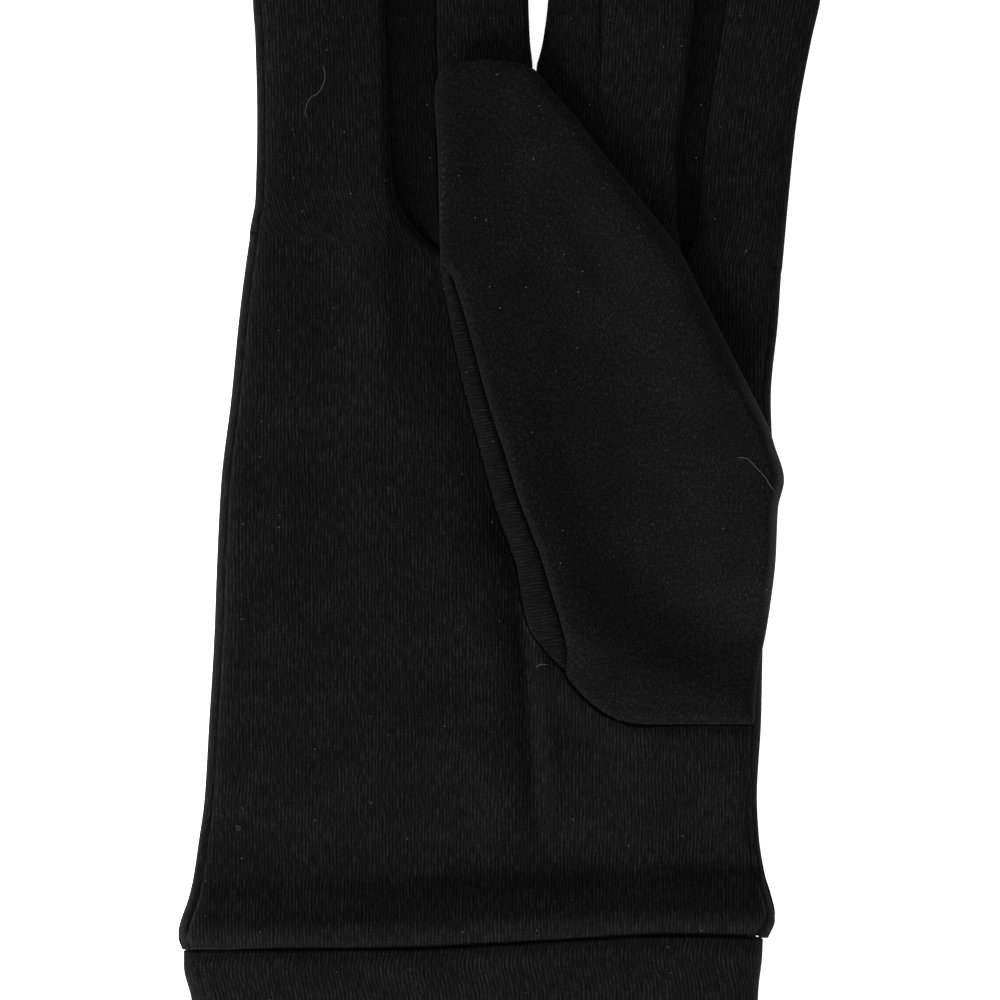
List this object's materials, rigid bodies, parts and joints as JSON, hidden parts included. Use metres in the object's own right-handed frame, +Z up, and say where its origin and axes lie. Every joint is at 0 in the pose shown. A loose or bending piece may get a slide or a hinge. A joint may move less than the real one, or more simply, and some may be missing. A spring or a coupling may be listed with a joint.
{
  "type": "glove liner",
  "caption": "Thin knitted five-finger glove liner for a right hand, lying palm up with its thumb folded over the palm and a plain wrist band.",
  "frame": {"origin": "middle of the bounding box, on the surface that the back of the hand rests on", "axes": "+Y along the hand towards the fingertips, +X across the palm towards the index finger, +Z up out of the palm"},
  "size_m": [0.109, 0.2288, 0.0167],
  "materials": {
    "palm_knit": "matte fine jersey knit, near black",
    "strip_knit": "matte fine jersey knit, near black, a little darker",
    "thumb_knit": "matte fine jersey knit, near black",
    "cuff_knit": "matte fine rib knit, near black"
  },
  "bodies": {
    "root": {"palm_panel": "palm_knit", "back_panel": "palm_knit", "fourchette_little_ring": "strip_knit", "fourchette_ring_middle": "strip_knit", "fourchette_middle_index": "strip_knit", "thumb": "thumb_knit", "thumb_gusset": "strip_knit", "cuff_band": "cuff_knit"}
  },
  "joints": []
}
